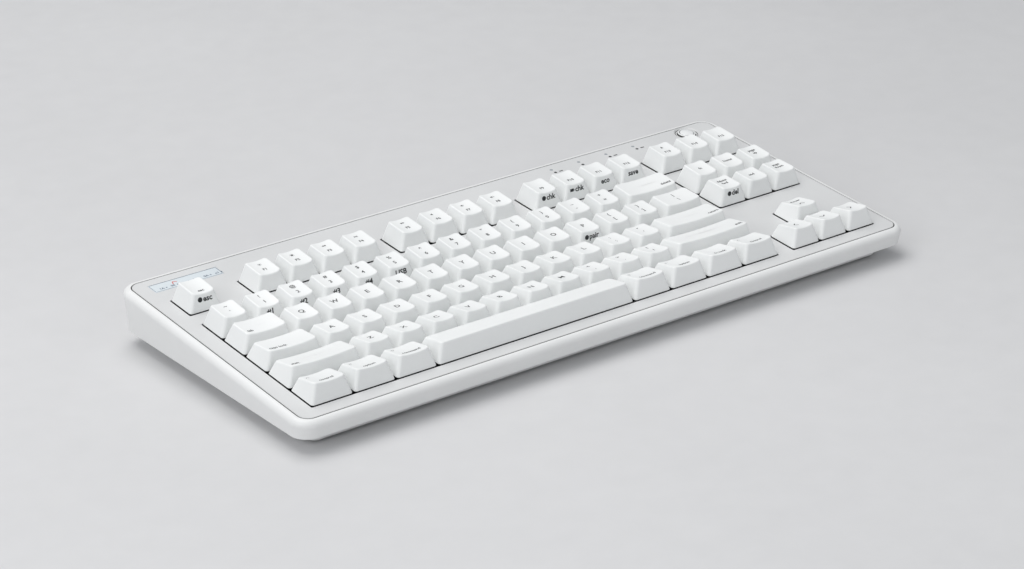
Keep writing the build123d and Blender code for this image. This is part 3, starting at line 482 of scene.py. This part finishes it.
def hollow(builder, cap, outer_rim):
    """The inside: a lip under the walls, the inner walls and the inner roof."""
    lip = outline(cap.base_x - CAP_WALL, cap.base_y - CAP_WALL, LIP_CORNER)
    roof_x = cap.top_x - CAP_WALL
    half_y = (cap.rear - cap.front) / 2 - CAP_WALL
    middle = (cap.front + cap.rear) / 2
    roof = [(x, y + middle) for x, y in outline(roof_x, half_y, ROOF_CORNER)]
    drop = CAP_SKIN + DISH_DEPTH
    lip_ring = ring(builder, [(x, y, CAP_BASE) for x, y in lip])
    roof_ring = ring(builder, [(x, y, cap.plane(y) - drop) for x, y in roof])
    bridge(builder, lip_ring, outer_rim)
    bridge(builder, roof_ring, lip_ring)
    builder.faces.new(list(reversed(roof_ring)))


def slider(builder, roof):
    """The sliding stem of a switch, bored for its spring, and the keycap's boss on top of it."""
    half_x, half_y = SLIDER_HALF
    bore = (SPRING_BORE, SPRING_BORE, SPRING_BORE)
    boss = (BOSS_RADIUS, BOSS_RADIUS, BOSS_RADIUS)
    body = (half_x, half_y, SLIDER_CORNER)
    levels = [(*bore, SLIDER_ROOF), (*bore, SLIDER_FOOT), (*body, SLIDER_FOOT)]
    levels += [(*body, BOSS_FOOT), (*boss, BOSS_FOOT), (*boss, roof)]
    stack(builder, levels)


def side_stem(builder, x, roof):
    """A stabiliser's stem with the slot for its wire, and the keycap's boss on top of it."""
    half_x, half_y = STAB_HALF
    slot_low, slot_high = STAB_SLOT_LEVELS
    boss = (BOSS_RADIUS, BOSS_RADIUS, BOSS_RADIUS)
    brick(builder, (x - half_x, -half_y, SLIDER_FOOT), (x + half_x, half_y, slot_low))
    brick(builder, (x - half_x, -half_y, slot_low), (x + half_x, STAB_SLOT_FRONT, slot_high))
    brick(builder, (x - half_x, -half_y, slot_high), (x + half_x, half_y, BOSS_FOOT))
    for side in (-1, 1):
        low, high = sorted((x + side * half_x, x + side * STAB_SLOT_HALF))
        brick(builder, (low, STAB_SLOT_FRONT, slot_low), (high, half_y, slot_high))
    stack(builder, [(*boss, BOSS_FOOT), (*boss, roof)], x)


# ---------------------------------------------------------------- prints

LETTER = 4.1
DIGIT = 3.3
WORD = 2.6
FRONT_PRINT = 3.9
PRINT_GRID = 0.5
TOP_WEIGHT = 0.06
FRONT_WEIGHT = 0.12
REAR_LINE = 2.9
FRONT_LINE = 2.3
EDGE_LINE = 2.9
EDGE_MARGIN = 1.7
LOWER_WORD = 0.6
MERGE = 0.001
FRONT_LEVEL = 0.62
MARKED_SHIFT = 1.5
ROUND_MARK = 1.3
ROUND_MARK_GAP = 1.7
CELL_MARK_GAP = 2.0
# the material slots of a keycap piece, after its plastic
GREY, INK = 1, 2
text_cache = {}


def text_shape(text, size, weight):
    """The filled outlines of a text as points and faces in the plane, cut small enough to follow a dish."""
    if (text, size, weight) in text_cache:
        return text_cache[(text, size, weight)]
    curve = bpy.data.curves.new("print", "FONT")
    curve.body = text
    curve.size = size
    curve.offset = weight
    curve.align_x = "CENTER"
    curve.align_y = "CENTER"
    curve.resolution_u = 2
    holder = bpy.data.objects.new("print", curve)
    bpy.context.scene.collection.objects.link(holder)
    bpy.context.view_layer.update()
    mesh = bpy.data.meshes.new_from_object(holder)
    builder = bmesh.new()
    builder.from_mesh(mesh)
    bmesh.ops.remove_doubles(builder, verts=builder.verts, dist=MERGE)
    bmesh.ops.triangulate(builder, faces=builder.faces)
    for _ in range(3):
        long_edges = [edge for edge in builder.edges if edge.calc_length() > PRINT_GRID]
        if long_edges:
            bmesh.ops.subdivide_edges(builder, edges=long_edges, cuts=1)
            bmesh.ops.triangulate(builder, faces=builder.faces)
    builder.verts.index_update()
    points = [(vert.co.x, vert.co.y) for vert in builder.verts]
    faces = [[vert.index for vert in face.verts] for face in builder.faces]
    builder.free()
    bpy.data.objects.remove(holder)
    bpy.data.curves.remove(curve)
    bpy.data.meshes.remove(mesh)
    text_cache[(text, size, weight)] = (points, faces)
    return points, faces


def polygon(points):
    return points, [list(range(len(points)))]


def disc(radius, count=14):
    turns = [2 * math.pi * step / count for step in range(count)]
    return polygon([(radius * math.cos(turn), radius * math.sin(turn)) for turn in turns])


def bar(width, height, x=0.0, y=0.0, turn=0.0):
    half_x = width / 2
    half_y = height / 2
    corners = ((-half_x, -half_y), (half_x, -half_y), (half_x, half_y), (-half_x, half_y))
    cos, sin = math.cos(math.radians(turn)), math.sin(math.radians(turn))
    return polygon([(x + a * cos - b * sin, y + a * sin + b * cos) for a, b in corners])


def triangle(size, x=0.0, y=0.0, turn=0.0):
    """A triangle whose tip points to the rear, turned anticlockwise."""
    turns = [math.radians(turn + 90 + 120 * corner) for corner in range(3)]
    return polygon([(x + size * math.cos(t), y + size * math.sin(t)) for t in turns])


def sun(radius):
    rays = []
    for step in range(8):
        turn = math.radians(45 * step)
        reach = radius + 0.45
        rays.append(bar(0.4, 0.18, reach * math.cos(turn), reach * math.sin(turn), 45 * step))
    return [disc(radius)] + rays


def speaker(waves):
    body = polygon([(-1.3, -0.35), (-0.8, -0.35), (-0.1, -0.9), (-0.1, 0.9), (-0.8, 0.35), (-1.3, 0.35)])
    return [body] + [bar(0.2, 0.8 + 0.5 * wave, 0.4 + 0.5 * wave) for wave in range(waves)]


def chevron(turn, size=1.0):
    """Two strokes that meet in a tip pointing to the rear, turned anticlockwise."""
    strokes = []
    for side in (-1, 1):
        reach = 0.42 * size * side
        place = reach * math.cos(math.radians(turn)), reach * math.sin(math.radians(turn))
        strokes.append(bar(1.25 * size, 0.26 * size, *place, turn - 45 * side))
    return strokes


def cell_mark():
    return [bar(2.3, 1.6, -0.2), bar(0.4, 0.8, 1.2)]


ICONS = {
    "F1": sun(0.45),
    "F2": sun(0.7),
    "F3": [triangle(0.8, -0.6, 0, 90), triangle(0.8, 0.5, 0, 90)],
    "F4": [triangle(0.8, -0.5, 0, -90), bar(0.25, 1.4, 0.4), bar(0.25, 1.4, 0.9)],
    "F5": [triangle(0.8, -0.6, 0, -90), triangle(0.8, 0.5, 0, -90)],
    "F6": speaker(0),
    "F7": speaker(1),
    "F8": speaker(2),
    "F13": [triangle(0.9, 0, 0.2), bar(1.5, 0.25, 0, -0.6)],
    "control": chevron(0),
    "option": [bar(1.4, 0.22, 0, 0.4), bar(1.4, 0.22, 0, -0.3)],
    "command": [bar(1.2, 0.22, 0, 0.5), bar(1.2, 0.22, 0, -0.5), bar(0.22, 1.2, -0.5), bar(0.22, 1.2, 0.5)],
}
ARROWS = {"up": 0, "left": 90, "down": 180, "right": 270}
ARROW_SIZE = 1.9
ARROW_DOTS = (-2.2, -0.4, 1.4, 2.6)
ARROW_DOT = (1.6, 0.9, 0.0, 0.0, 10)


def place_shape(builder, shape, carry, material):
    """Adds a flat shape, each point carried on to the keycap by the function carry."""
    points, faces = shape
    verts = [builder.verts.new(carry(x, y)) for x, y in points]
    for face in faces:
        corners = [verts[index] for index in face]
        if builder.faces.get(corners) is None:
            builder.faces.new(corners).material_index = material


def extent(shape):
    xs = [x for x, _ in shape[0]]
    return (min(xs), max(xs)) if xs else (0.0, 0.0)


def flat_carry(offset_x, offset_y, height):
    """Carries a flat shape to a place on a flat face."""

    def carry(x, y):
        return x + offset_x, y + offset_y, height

    return carry


def top_carry(cap, offset_x, offset_y):
    """Carries a flat shape on to the dished top of a keycap."""

    def carry(x, y):
        px = x + offset_x
        py = y + offset_y
        return px, py, cap.surface(px, py) + LIFT

    return carry


def top_print(builder, cap, text):
    """The grey print on the top of a keycap: a letter, one or two lines, or a word at the front edge."""
    middle = (cap.front + cap.rear) / 2
    edge_line = cap.front + EDGE_LINE

    def put(shape, x, y):
        place_shape(builder, shape, top_carry(cap, x, y), GREY)

    def put_text(words, size, x, y):
        put(text_shape(words, size, TOP_WEIGHT), x, y)

    if not text:
        return
    if text in ARROWS:
        for stroke in chevron(ARROWS[text], ARROW_SIZE):
            put(stroke, 0, middle - (FRONT_LINE if text == "up" else 0))
        if text == "up":
            for x in ARROW_DOTS:
                place_shape(builder, bar(*ARROW_DOT), top_carry(cap, x, middle + REAR_LINE), INK)
    elif len(text) == 1:
        put_text(text, LETTER, 0, middle)
    elif text[0] in "<>" and "\n" not in text:
        low, high = extent(text_shape(text[1:], WORD, TOP_WEIGHT))
        edge = cap.top_x - EDGE_MARGIN
        put_text(text[1:], WORD, -edge - low if text[0] == "<" else edge - high, edge_line)
    elif "\n" in text:
        rear, front = text.split("\n")
        single = len(rear) == 1
        put_text(rear, DIGIT if single else WORD, 0, middle + (REAR_LINE if single else FRONT_LINE))
        put_text(front, DIGIT if single else WORD, 0, middle - (FRONT_LINE if single else LOWER_WORD))
    elif text.startswith("F"):
        put_text(text, WORD, 0, middle - FRONT_LINE)
    elif cap.row == "bottom":
        put_text(text, WORD, 0, edge_line)
    else:
        put_text(text, WORD, 0, edge_line if text == "esc" else middle)
    marked_left = cap.row == "bottom"
    for part in ICONS.get(text, []):
        put(part, EDGE_MARGIN - cap.top_x + 1 if marked_left else 0, middle + REAR_LINE)


def front_print(builder, cap, text):
    """The bold dark print on the front wall of a keycap. A star is a round mark, = is a cell mark."""
    foot = Vector((0, -cap.base_y, CAP_BASE))
    head = Vector((0, cap.front, cap.front_height))
    up = (head - foot).normalized()
    out = Vector((0, -up.z, up.y))
    middle = foot.lerp(head, FRONT_LEVEL) + out * LIFT

    def put(shape, offset):
        def carry(x, y):
            return middle + Vector((x + offset, 0, 0)) + up * y

        place_shape(builder, shape, carry, INK)

    word = text.lstrip("*=")
    shape = text_shape(word, FRONT_PRINT, FRONT_WEIGHT)
    low, _ = extent(shape)
    shift = MARKED_SHIFT if word != text else 0.0
    put(shape, shift)
    if text.startswith("*"):
        put(disc(ROUND_MARK), shift + low - ROUND_MARK_GAP)
    if text.startswith("="):
        for part in cell_mark():
            put(part, shift + low - CELL_MARK_GAP)


def make_keycaps():
    for number, key in enumerate(all_keys()):
        cap = Cap(key.row, key.width)
        builder = bmesh.new()
        cap_mesh(builder, cap)
        roof = cap.plane(0) - CAP_SKIN - DISH_DEPTH / 2
        slider(builder, roof)
        if key.node in STABILISED:
            for side in (-1, 1):
                side_stem(builder, side * STABILISED[key.node], roof)
        top_print(builder, cap, key.top)
        if key.front:
            front_print(builder, cap, key.front)
        x, y = key_centre(key)
        matrix = DECK @ Matrix.Translation((x, y, 0))
        piece = finish_mesh(builder, f"keycap_{number:02d}", ["keycap", "grey_ink", "ink"], matrix, key.node)
        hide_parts(key.node)


# ---------------------------------------------------------------- rear band


def lathe(profile, count=64):
    """A turned shape from (radius, height) pairs. The first and last radius may be 0."""
    builder = bmesh.new()
    rings = []
    for radius, height in profile:
        if radius == 0:
            rings.append([builder.verts.new((0, 0, height))])
            continue
        turn = [2 * math.pi * step / count for step in range(count)]
        rings.append([builder.verts.new((radius * math.cos(a), radius * math.sin(a), height)) for a in turn])
    for lower, upper in zip(rings, rings[1:]):
        for place in range(count):
            after = (place + 1) % count
            if len(lower) == 1:
                builder.faces.new((lower[0], upper[after], upper[place]))
            elif len(upper) == 1:
                builder.faces.new((lower[place], lower[after], upper[0]))
            else:
                builder.faces.new((lower[place], lower[after], upper[after], upper[place]))
    return builder


# lowest and highest level of the painted groove shade strip; the button's turned faces below the highest take
# painted shade too
GROOVE_SHADE_LEVELS = (-0.9, -0.3)
BUTTON = (166.4, 70.35)
BUTTON_RADIUS = 5.1


BUTTON_EAR = (6.2, 2.5)
BUTTON_LEVELS = (-4.9, -3.5, -2.5)
PLUNGER_RADIUS = 1.5
DOME_RADIUS = 3.7
DOME_HEIGHT = 0.62
DOME_STEPS = 12
DOME_FOOT = 0.45
BUTTON_SHARP = 50.0
# radius and height of the points from the button's side over its collar into the groove round the dome
COLLAR = [(5.1, 0.0), (5.05, 0.22), (4.9, 0.34), (4.55, 0.40), (4.35, 0.34)]
COLLAR += [(4.28, -0.75), (3.85, -0.75), (3.78, 0.30)]


def make_button():
    """The power button: a dome in a ring groove and a collar, two ears under the panel and a plunger. The
    turned faces lower than the top of the groove shade strip, the ring groove's floor among them, carry
    painted shade.
    """
    foot, ear_foot, ear_top = BUTTON_LEVELS
    profile = [(0, foot), (PLUNGER_RADIUS, foot), (PLUNGER_RADIUS, ear_foot), (BUTTON_RADIUS, ear_foot)]
    profile += COLLAR
    for step in range(DOME_STEPS + 1):
        radius = DOME_RADIUS * (1 - step / DOME_STEPS)
        profile.append((radius, DOME_FOOT + DOME_HEIGHT * (1 - (radius / DOME_RADIUS) ** 2)))
    builder = lathe(profile)
    # painted shade: turned faces below the strip level, the ring groove's floor among them, take the
    # near-black second material
    for face in builder.faces:
        face.material_index = 1 if face.calc_center_median().z < GROOVE_SHADE_LEVELS[1] else 0
    reach, half_y = BUTTON_EAR
    brick(builder, (-reach, -half_y, ear_foot), (reach, half_y, ear_top))
    x, y = BUTTON
    matrix = DECK @ Matrix.Translation((x, y, 0))
    piece = finish_mesh(builder, "power_button_cap", ["button", "groove_shade"], matrix, "power_button", BUTTON_SHARP)
    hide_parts("power_button")


BADGE = (-158.0, 68.3)
BADGE_SIZE = (38.85, 8.15)
ICON_STEP = 6.3
BADGE_WORDS = ("1A", "00", "oo", "A1", "0A", "o1")
BADGE_LINE = 2.3
BADGE_LIFT = 0.05
BADGE_CORNER = 0.6
BADGE_LEAST_CORNER = 0.1
# inset from the edge and height of the rings of the window, from its foot to its face
BADGE_LEVELS = [(0.0, -0.8), (0.0, -0.1), (0.04, -0.03), (0.12, 0.0), (0.3, 0.01), (3.0, 0.02)]
BADGE_PRINT = (2.3, 0.06)
BADGE_START = 0.75
BADGE_DOT = (0.45, 10)
BADGE_DOT_STEP = 2.6
BADGE_TIP = (25, 1.9)
BADGE_TIP_PLACE = (13.0, 1.0)
RULE_WIDTH = 0.22
RULE_INSET = 0.4
RULE_GAP = 1.2


def make_badge():
    """The indicator window: a clear cover with a softened edge and a row of small icons under it."""
    half_x = BADGE_SIZE[0] / 2
    half_y = BADGE_SIZE[1] / 2
    builder = bmesh.new()
    rings = []
    for inset, height in BADGE_LEVELS:
        flat = outline(half_x - inset, half_y - inset, max(BADGE_CORNER - inset, BADGE_LEAST_CORNER))
        rings.append(ring(builder, [(x, y, height) for x, y in flat]))
    for lower, upper in zip(rings, rings[1:]):
        bridge(builder, lower, upper)
    builder.faces.new(rings[-1])
    builder.faces.new(list(reversed(rings[0])))

    for place, word in enumerate(BADGE_WORDS):
        x = ICON_STEP * (place + BADGE_START) - half_x
        y = BADGE_LINE - half_y
        place_shape(builder, text_shape(word, *BADGE_PRINT), flat_carry(x, y, BADGE_LIFT), 1)
        place_shape(builder, disc(*BADGE_DOT), flat_carry(x + BADGE_DOT_STEP, y, BADGE_LIFT), 1)
    tip_x, tip_y = BADGE_TIP_PLACE
    for stroke in chevron(*BADGE_TIP):
        place_shape(builder, stroke, flat_carry(tip_x - half_x, tip_y, BADGE_LIFT), 2)
    for side in (-1, 1):
        along = bar(2 * half_x - RULE_GAP, RULE_WIDTH, 0, side * (half_y - RULE_INSET))
        place_shape(builder, along, flat_carry(0, 0, BADGE_LIFT), 1)
        across = bar(RULE_WIDTH, 2 * half_y - RULE_GAP, side * (half_x - RULE_INSET))
        place_shape(builder, across, flat_carry(0, 0, BADGE_LIFT), 1)
    x, y = BADGE
    matrix = DECK @ Matrix.Translation((x, y, 0))
    piece = finish_mesh(builder, "badge_cover", ["badge", "blue_ink", "red_ink"], matrix, "case")
    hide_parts("badge_window")


LIGHTS_Y = 72.45
LIGHTS_X = (73.0, 91.7, 110.6, 129.5)
MARK_DROP = 3.7
LIGHT_MARK = 0.85
LIGHT_BAR = (2.4, 0.8)


def make_marks():
    """The small icons printed on the panel in front of the indicator lights."""
    builder = bmesh.new()
    y = LIGHTS_Y - MARK_DROP
    for place, x in enumerate(LIGHTS_X):
        place_shape(builder, disc(LIGHT_MARK), flat_carry(x, y, LIFT), 0)
        if place != 1:
            place_shape(builder, bar(*LIGHT_BAR), flat_carry(x + MARK_DROP, y, LIFT), 0)
    piece = finish_mesh(builder, "panel_icons", ["ink"], DECK, "case")


# half widths and corner of the inner and outer edge of the painted shade strip round the panel, and the radii
# of its ring round the button
GROOVE_SHADE_INNER = (185.33, 77.68, 5.4)
GROOVE_SHADE_OUTER = (185.88, 78.23, 6.0)
BUTTON_GROOVE_SHADE = (6.25, 7.2)
BUTTON_GROOVE_SHADE_LEVELS = (-0.79, -0.62)


def make_groove_shade():
    """A near-black strip laid at the bottom of the groove between the panel and the rim of the shell, and
    round the power button: painted shade in the grooves.
    """
    builder = bmesh.new()
    low, high = GROOVE_SHADE_LEVELS
    rings = []
    for size, height in ((GROOVE_SHADE_INNER, low), (GROOVE_SHADE_OUTER, low), (GROOVE_SHADE_OUTER, high), (GROOVE_SHADE_INNER, high)):
        rings.append(ring(builder, [(x, y, height) for x, y in outline(*size)]))
    low, high = BUTTON_GROOVE_SHADE_LEVELS
    inner, outer = BUTTON_GROOVE_SHADE
    x, y = BUTTON
    loop = []
    for radius, height in ((inner, low), (outer, low), (outer, high), (inner, high)):
        loop.append(ring(builder, [(px + x, py + y, height) for px, py in outline(radius, radius, radius)]))
    for closed in (rings, loop):
        for lower, upper in zip(closed, closed[1:] + closed[:1]):
            bridge(builder, lower, upper)
    piece = finish_mesh(builder, "groove_shade_strip", ["groove_shade"], DECK, "case")


# ---------------------------------------------------------------- carried-over CAD nodes

NODE_MATERIALS = {
    "lower_case": "shell",
    "top_cover": "panel",
    "battery_door": "shell",
    "tilt_foot_left": "shell",
    "tilt_foot_right": "shell",
    "mounting_plate": "plate",
    "circuit_board": "board",
    "controller_board": "board",
    "switch_bases": "housing",
    "switch_tops": "housing",
    "switch_springs": "wire",
    "switch_contacts": "brass",
    "stabiliser_housings": "housing",
    "usb_socket": "steel",
    "case_screws": "steel",
    "rubber_pads": "rubber",
    "tilt_foot_pins": "steel",
    "battery_cells": "sleeve",
    "battery_contacts": "wire",
    "indicator_lights": "guide",
    "power_switch": "housing",
}
SOFTENED = {
    "lower_case": 0.25,
    "top_cover": 0.16,
    "battery_door": 0.25,
    "tilt_foot_left": 0.3,
    "tilt_foot_right": 0.3,
}


BEVEL_SEGMENTS = 3
BEVEL_ANGLE = 38.0


def dress_nodes():
    for node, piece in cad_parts.items():
        material = NODE_MATERIALS.get(node, "wire" if node.endswith("_wire") else None)
        if material is None:
            continue
        piece.data.materials.clear()
        piece.data.materials.append(MATERIALS[material])
        if node in SOFTENED:
            bevel = piece.modifiers.new("softened edges", "BEVEL")
            bevel.width = SOFTENED[node] * MM
            bevel.segments = BEVEL_SEGMENTS
            bevel.limit_method = "ANGLE"
            bevel.angle_limit = math.radians(BEVEL_ANGLE)
            bevel.harden_normals = False


# ---------------------------------------------------------------- studio


FLOOR_HALF = 3.0
WORLD_COLOUR = (0.93, 0.96, 1.0, 1)
WORLD_STRENGTH = 0.42
LIT_POINT = (0, 0, 0.02)
# name, place, size, power and colour of each lamp
LAMPS = (
    ("overhead", (-0.25, 0.35, 1.5), (1.6, 1.2), 16.5, (1.0, 0.99, 0.98)),
    ("left_fill", (-1.5, -0.5, 0.9), (1.2, 0.9), 9, (0.99, 0.99, 1.0)),
    ("front_fill", (0.5, -1.5, 0.7), (1.2, 0.9), 2.5, (1.0, 1.0, 0.99)),
)


def make_floor():
    builder = bmesh.new()
    bmesh.ops.create_grid(builder, x_segments=1, y_segments=1, size=FLOOR_HALF)
    mesh = bpy.data.meshes.new("floor")
    builder.to_mesh(mesh)
    builder.free()
    mesh.materials.append(MATERIALS["floor"])
    floor = bpy.data.objects.new("floor", mesh)
    bpy.context.scene.collection.objects.link(floor)


def area_light(name, place, size, power, colour):
    light = bpy.data.lights.new(name, "AREA")
    light.shape = "RECTANGLE"
    light.size, light.size_y = size
    light.energy = power
    light.color = colour
    lamp = bpy.data.objects.new(name, light)
    lamp.location = place
    lamp.rotation_mode = "QUATERNION"
    lamp.rotation_quaternion = (Vector(LIT_POINT) - Vector(place)).to_track_quat("-Z", "Y")
    bpy.context.scene.collection.objects.link(lamp)


def make_lights():
    world = bpy.data.worlds.new("studio")
    world.use_nodes = True
    background = world.node_tree.nodes["Background"]
    background.inputs["Color"].default_value = WORLD_COLOUR
    background.inputs["Strength"].default_value = WORLD_STRENGTH
    bpy.context.scene.world = world
    for lamp in LAMPS:
        area_light(*lamp)
    bpy.context.scene.view_settings.view_transform = "Standard"


VIEW_AZIMUTH = -37.033
VIEW_ELEVATION = 23.460
VIEW_ROLL = -0.669
VIEW_DISTANCE = 1.4376
VIEW_TARGET = Vector((-0.02268, -0.01871, 0.020))
VIEW_LENS = 101.8
SENSOR_WIDTH = 36.0


def make_camera():
    turn = math.radians(VIEW_AZIMUTH)
    lift = math.radians(VIEW_ELEVATION)
    back = Vector((math.sin(turn) * math.cos(lift), -math.cos(turn) * math.cos(lift), math.sin(lift)))
    data = bpy.data.cameras.new("camera")
    data.sensor_width = SENSOR_WIDTH
    data.lens = VIEW_LENS
    camera = bpy.data.objects.new("camera", data)
    camera.location = VIEW_TARGET + back * VIEW_DISTANCE
    camera.rotation_mode = "QUATERNION"
    level = (-back).to_track_quat("-Z", "Y")
    camera.rotation_quaternion = level @ Quaternion((0, 0, 1), math.radians(VIEW_ROLL))
    bpy.context.scene.collection.objects.link(camera)
    bpy.context.scene.camera = camera


make_keycaps()
make_button()
make_badge()
make_marks()
make_groove_shade()
dress_nodes()
make_floor()
make_lights()
make_camera()
